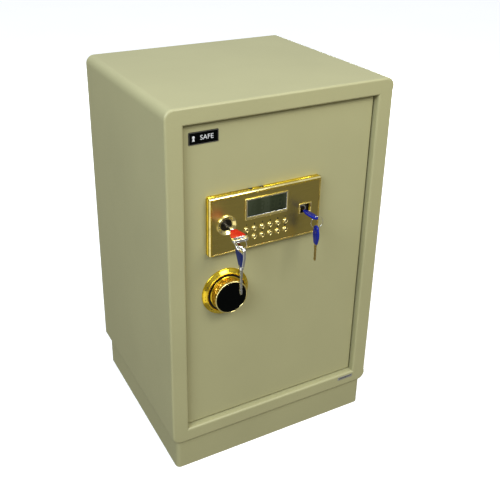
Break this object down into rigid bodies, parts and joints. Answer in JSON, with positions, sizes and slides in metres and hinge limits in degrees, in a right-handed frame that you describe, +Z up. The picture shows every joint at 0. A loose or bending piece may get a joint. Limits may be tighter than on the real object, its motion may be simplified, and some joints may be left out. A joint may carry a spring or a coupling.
{
  "type": "electronic safe",
  "caption": "Free-standing steel safe on a plinth with a recessed hinged door, keypad and display lock panel, two key locks, turning knob and sliding bolt work.",
  "frame": {"origin": "on the floor, at the centre of the cabinet's footprint and of the four floor-anchor holes", "axes": "+Z up along the cabinet's height, -Y out of the front, +X to the right as seen from the front"},
  "size_m": [0.43, 0.4519, 0.7],
  "materials": {
    "cabinet_paint": "satin powder paint, fine orange peel",
    "door_paint": "satin powder paint, fine orange peel",
    "frame_paint": "satin paint",
    "liner_paint": "light grey satin paint",
    "fill": "matte fire-resistant filling",
    "steel": "zinc-plated",
    "chrome": "polished",
    "gold": "polished gold plate",
    "fascia": "brushed bronze",
    "button": "polished pale gold",
    "window": "dark tinted window",
    "board": "circuit board",
    "black_gloss": "glossy black",
    "black_plastic": "moulded black",
    "cell": "battery sleeve",
    "label": "silver foil",
    "red_inlay": "glossy red enamel",
    "blue_inlay": "glossy dark blue enamel",
    "blue_plastic": "moulded blue"
  },
  "bodies": {
    "cabinet": {"outer_shell": "cabinet_paint", "back_panel": "cabinet_paint", "plinth": "cabinet_paint", "bolt_frame": "frame_paint", "wall_fill": "fill", "inner_liner": "liner_paint", "shelf": "liner_paint", "shelf_pegs": "steel", "hinge_pins": "steel", "inspection_label": "label"},
    "door": {"door_plate": "door_paint", "door_pan": "liner_paint", "pan_screws": "steel", "hinge_knuckles": "steel", "name_plate": "black_gloss", "lock_housing": "gold", "lock_fascia": "fascia", "display_bezel": "gold", "display_window": "window", "control_board": "board", "key_escutcheon": "gold", "main_lock_case": "chrome", "emergency_bezel": "gold", "emergency_lock_case": "chrome", "knob_base": "gold", "guide_posts": "steel", "lock_motor": "black_plastic", "battery_box": "black_plastic", "batteries": "cell"},
    "turning_knob": {"knob": "gold", "knob_face": "black_gloss", "spindle": "steel"},
    "bolt_work": {"bolt_carriage": "steel", "lock_bolts": "chrome"},
    "motor_pin": {"blocking_pin": "steel"},
    "lock_bar": {"key_bar": "steel"},
    "lock_plug": {"main_plug": "chrome"},
    "user_key": {"main_key": "chrome", "main_key_inlay": "red_inlay"},
    "user_key_ring": {"main_key_ring": "chrome"},
    "user_spare": {"spare_key": "chrome", "spare_key_inlay": "blue_inlay"},
    "override_plug": {"emergency_plug": "chrome"},
    "override_key": {"emergency_key": "blue_plastic"},
    "override_ring": {"emergency_key_ring": "chrome"},
    "override_spare": {"emergency_spare_key": "blue_plastic"},
    "push_button_1": {"button_1": "button"},
    "push_button_2": {"button_2": "button"},
    "push_button_3": {"button_3": "button"},
    "push_button_4": {"button_4": "button"},
    "push_button_5": {"button_5": "button"},
    "push_button_6": {"button_6": "button"},
    "push_button_7": {"button_7": "button"},
    "push_button_8": {"button_8": "button"},
    "push_button_9": {"button_9": "button"},
    "push_button_10": {"button_10": "button"},
    "push_button_11": {"button_11": "button"},
    "push_button_12": {"button_12": "button"}
  },
  "joints": [
    {"name": "door_hinge", "type": "hinge", "parent": "cabinet", "child": "door", "pos_m": [0.171, -0.171, 0.37925], "axis": [0, 0, 1], "range_deg": [0, 100]},
    {"name": "knob_turn", "type": "hinge", "parent": "door", "child": "turning_knob", "pos_m": [-0.106, -0.178, 0.3564], "axis": [0, -1, 0], "range_deg": [0, 70]},
    {"name": "bolt_slide", "type": "slide", "parent": "door", "child": "bolt_work", "axis": [-1, 0, 0], "range_m": [0, 0.02295]},
    {"name": "blocking_pin_slide", "type": "slide", "parent": "door", "child": "motor_pin", "axis": [0, 0, -1], "range_m": [0, 0.007]},
    {"name": "main_lock_turn", "type": "hinge", "parent": "door", "child": "lock_plug", "pos_m": [-0.1105, -0.178, 0.4897], "axis": [0, -1, 0], "range_deg": [0, 90]},
    {"name": "key_bar_slide", "type": "slide", "parent": "door", "child": "lock_bar", "axis": [0, 0, -1], "range_m": [0, 0.01132]},
    {"name": "main_key_pull", "type": "slide", "parent": "lock_plug", "child": "user_key", "axis": [0, -1, 0], "range_m": [0, 0.032]},
    {"name": "main_ring_swing", "type": "hinge", "parent": "user_key", "child": "user_key_ring", "pos_m": [-0.1157, -0.2489, 0.485], "axis": [0.7749, 0.632, 0], "range_deg": [-25, 25]},
    {"name": "spare_key_swing", "type": "hinge", "parent": "user_key_ring", "child": "user_spare", "pos_m": [-0.1157, -0.2489, 0.4746], "axis": [0.632, -0.7749, 0], "range_deg": [-15, 15]},
    {"name": "emergency_lock_turn", "type": "hinge", "parent": "door", "child": "override_plug", "pos_m": [0.039, -0.178, 0.4864], "axis": [0, -1, 0], "range_deg": [-55, 35]},
    {"name": "emergency_key_pull", "type": "slide", "parent": "override_plug", "child": "override_key", "axis": [0, -1, 0], "range_m": [0, 0.024]},
    {"name": "emergency_ring_swing", "type": "hinge", "parent": "override_key", "child": "override_ring", "pos_m": [0.0428, -0.2278, 0.4775], "axis": [0.1478, 0.989, 0], "range_deg": [-20, 20]},
    {"name": "emergency_spare_swing", "type": "hinge", "parent": "override_ring", "child": "override_spare", "pos_m": [0.0428, -0.2278, 0.4665], "axis": [0.989, -0.1478, 0], "range_deg": [-15, 15]},
    {"name": "button_1_press", "type": "slide", "parent": "door", "child": "push_button_1", "axis": [0, 1, 0], "range_m": [0, 0.001], "stiffness_N_per_m": 400},
    {"name": "button_2_press", "type": "slide", "parent": "door", "child": "push_button_2", "axis": [0, 1, 0], "range_m": [0, 0.001], "stiffness_N_per_m": 400},
    {"name": "button_3_press", "type": "slide", "parent": "door", "child": "push_button_3", "axis": [0, 1, 0], "range_m": [0, 0.001], "stiffness_N_per_m": 400},
    {"name": "button_4_press", "type": "slide", "parent": "door", "child": "push_button_4", "axis": [0, 1, 0], "range_m": [0, 0.001], "stiffness_N_per_m": 400},
    {"name": "button_5_press", "type": "slide", "parent": "door", "child": "push_button_5", "axis": [0, 1, 0], "range_m": [0, 0.001], "stiffness_N_per_m": 400},
    {"name": "button_6_press", "type": "slide", "parent": "door", "child": "push_button_6", "axis": [0, 1, 0], "range_m": [0, 0.001], "stiffness_N_per_m": 400},
    {"name": "button_7_press", "type": "slide", "parent": "door", "child": "push_button_7", "axis": [0, 1, 0], "range_m": [0, 0.001], "stiffness_N_per_m": 400},
    {"name": "button_8_press", "type": "slide", "parent": "door", "child": "push_button_8", "axis": [0, 1, 0], "range_m": [0, 0.001], "stiffness_N_per_m": 400},
    {"name": "button_9_press", "type": "slide", "parent": "door", "child": "push_button_9", "axis": [0, 1, 0], "range_m": [0, 0.001], "stiffness_N_per_m": 400},
    {"name": "button_10_press", "type": "slide", "parent": "door", "child": "push_button_10", "axis": [0, 1, 0], "range_m": [0, 0.001], "stiffness_N_per_m": 400},
    {"name": "button_11_press", "type": "slide", "parent": "door", "child": "push_button_11", "axis": [0, 1, 0], "range_m": [0, 0.001], "stiffness_N_per_m": 400},
    {"name": "button_12_press", "type": "slide", "parent": "door", "child": "push_button_12", "axis": [0, 1, 0], "range_m": [0, 0.001], "stiffness_N_per_m": 400}
  ],
  "couplings": [
    {"joint": "bolt_slide", "follows": "knob_turn", "m_per_rad": 0.018779},
    {"joint": "key_bar_slide", "follows": "main_lock_turn", "m_per_rad": 0.0072025}
  ]
}
